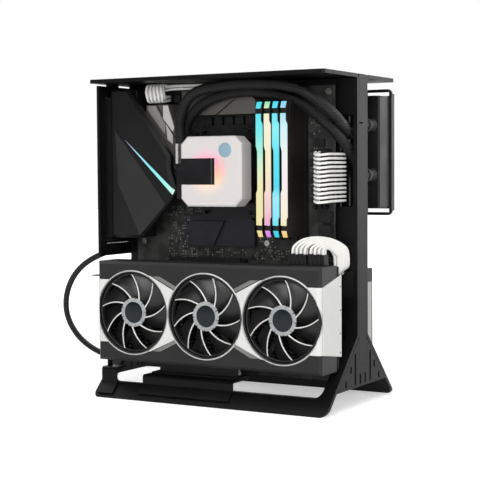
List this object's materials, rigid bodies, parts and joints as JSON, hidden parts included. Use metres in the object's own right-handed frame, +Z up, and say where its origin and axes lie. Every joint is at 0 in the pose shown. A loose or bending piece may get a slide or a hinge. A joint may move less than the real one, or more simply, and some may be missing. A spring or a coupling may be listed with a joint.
{
  "type": "open air test bench",
  "caption": "Open computer test bench: folded black sheets back to back carry a lit board, graphics card, pump and hoses in front, a radiator, fans and a power supply behind.",
  "frame": {"origin": "on the floor under the middle of the bench", "axes": "+Z up, +X to the right along the bench, +Y from the board's side to the radiator's side"},
  "size_m": [0.4155, 0.33, 0.342],
  "materials": {
    "black_sheet": "fine satin powder coat",
    "zinc_steel": "bright zinc",
    "board_laminate": "black solder mask",
    "connector_plastic": "moulded black nylon",
    "shroud_plastic": "dark satin moulding",
    "light_guide": "lit light guide",
    "grey_aluminium": "dark anodised",
    "fin_aluminium": "bare fin stock",
    "processor_lid": "nickel",
    "latch_plastic": "grey nylon",
    "spreader": "brushed anodised",
    "light_bar": "lit diffuser",
    "pump_frost": "frosted, lit from inside",
    "pump_black": "moulded black",
    "hose_rubber": "sleeved hose",
    "radiator_paint": "matt black paint",
    "fan_plastic": "glass filled black",
    "card_black": "moulded black",
    "card_silver": "silver white paint",
    "supply_paint": "textured black paint",
    "cable_sleeve": "white braided sleeve",
    "lead_jacket": "soft black jacket"
  },
  "bodies": {
    "bench": {"front_sheet": "black_sheet", "rear_sheet": "black_sheet", "spine_strips": "black_sheet", "end_plates": "black_sheet", "side_plate": "black_sheet", "riser_bracket": "black_sheet", "card_holder": "black_sheet", "radiator_plate": "black_sheet", "board_screws": "zinc_steel", "fan_spacers": "zinc_steel", "slot_bracket": "zinc_steel", "pump_bracket": "zinc_steel", "circuit_board": "board_laminate", "card_board": "board_laminate", "soldered_parts": "connector_plastic", "card_slots": "connector_plastic", "memory_slots": "connector_plastic", "riser_cable": "connector_plastic", "supply_inlet": "connector_plastic", "port_shroud": "shroud_plastic", "light_strip": "light_guide", "regulator_heatsinks": "grey_aluminium", "chipset_cover": "grey_aluminium", "card_backplate": "grey_aluminium", "card_heatsink": "fin_aluminium", "processor": "processor_lid", "memory_module_1": "spreader", "memory_module_2": "spreader", "memory_module_3": "spreader", "memory_module_4": "spreader", "memory_light_bars": "light_bar", "pump_cap": "pump_frost", "pump_body": "pump_black", "tube_fittings": "pump_black", "upper_tube": "hose_rubber", "lower_tube": "hose_rubber", "radiator": "radiator_paint", "fan_frames": "fan_plastic", "card_shroud": "card_black", "card_trim": "card_silver", "supply_case": "supply_paint", "main_cable": "cable_sleeve", "processor_cable": "cable_sleeve", "card_cable": "cable_sleeve", "mains_lead": "lead_jacket", "lead_coil": "lead_jacket", "lead_connector": "lead_jacket", "lead_plug": "lead_jacket"},
    "card_fan_1": {"card_fan_rotor_1": "fan_plastic"},
    "card_fan_2": {"card_fan_rotor_2": "fan_plastic"},
    "card_fan_3": {"card_fan_rotor_3": "fan_plastic"},
    "left_fan": {"left_fan_rotor": "fan_plastic"},
    "right_fan": {"right_fan_rotor": "fan_plastic"},
    "supply_fan": {"supply_fan_rotor": "fan_plastic"},
    "power_switch": {"supply_switch": "connector_plastic"},
    "riser_lever": {"riser_latch": "latch_plastic"},
    "memory_lever_1": {"memory_latch_1": "latch_plastic"},
    "memory_lever_2": {"memory_latch_2": "latch_plastic"},
    "memory_lever_3": {"memory_latch_3": "latch_plastic"},
    "memory_lever_4": {"memory_latch_4": "latch_plastic"}
  },
  "joints": [
    {"name": "card_fan_1_spin", "type": "hinge", "parent": "bench", "child": "card_fan_1", "pos_m": [-0.086, -0.0795, 0.094], "axis": [0, 1, 0], "continuous": true},
    {"name": "card_fan_2_spin", "type": "hinge", "parent": "bench", "child": "card_fan_2", "pos_m": [0.0034, -0.0795, 0.094], "axis": [0, 1, 0], "continuous": true},
    {"name": "card_fan_3_spin", "type": "hinge", "parent": "bench", "child": "card_fan_3", "pos_m": [0.0926, -0.0795, 0.094], "axis": [0, 1, 0], "continuous": true},
    {"name": "left_fan_spin", "type": "hinge", "parent": "bench", "child": "left_fan", "pos_m": [-0.06, 0.041, 0.2625], "axis": [0, 1, 0], "continuous": true},
    {"name": "right_fan_spin", "type": "hinge", "parent": "bench", "child": "right_fan", "pos_m": [0.06, 0.041, 0.2625], "axis": [0, 1, 0], "continuous": true},
    {"name": "supply_fan_spin", "type": "hinge", "parent": "bench", "child": "supply_fan", "pos_m": [0.0545, 0.06985, 0.087], "axis": [0, 1, 0], "continuous": true},
    {"name": "memory_lever_1_open", "type": "hinge", "parent": "bench", "child": "memory_lever_1", "pos_m": [0.0566, -0.022, 0.3182], "axis": [-1, 0, 0], "range_deg": [0, 30]},
    {"name": "memory_lever_2_open", "type": "hinge", "parent": "bench", "child": "memory_lever_2", "pos_m": [0.066, -0.022, 0.3182], "axis": [-1, 0, 0], "range_deg": [0, 30]},
    {"name": "memory_lever_3_open", "type": "hinge", "parent": "bench", "child": "memory_lever_3", "pos_m": [0.0754, -0.022, 0.3182], "axis": [-1, 0, 0], "range_deg": [0, 30]},
    {"name": "memory_lever_4_open", "type": "hinge", "parent": "bench", "child": "memory_lever_4", "pos_m": [0.0848, -0.022, 0.3182], "axis": [-1, 0, 0], "range_deg": [0, 30]},
    {"name": "riser_lever_open", "type": "hinge", "parent": "bench", "child": "riser_lever", "pos_m": [0.0205, -0.0498, 0.0312], "axis": [0, 1, 0], "range_deg": [0, 35]},
    {"name": "power_switch_rock", "type": "hinge", "parent": "bench", "child": "power_switch", "pos_m": [0.052, 0.0476, 0.1371], "axis": [0, 1, 0], "range_deg": [0, 16]}
  ]
}
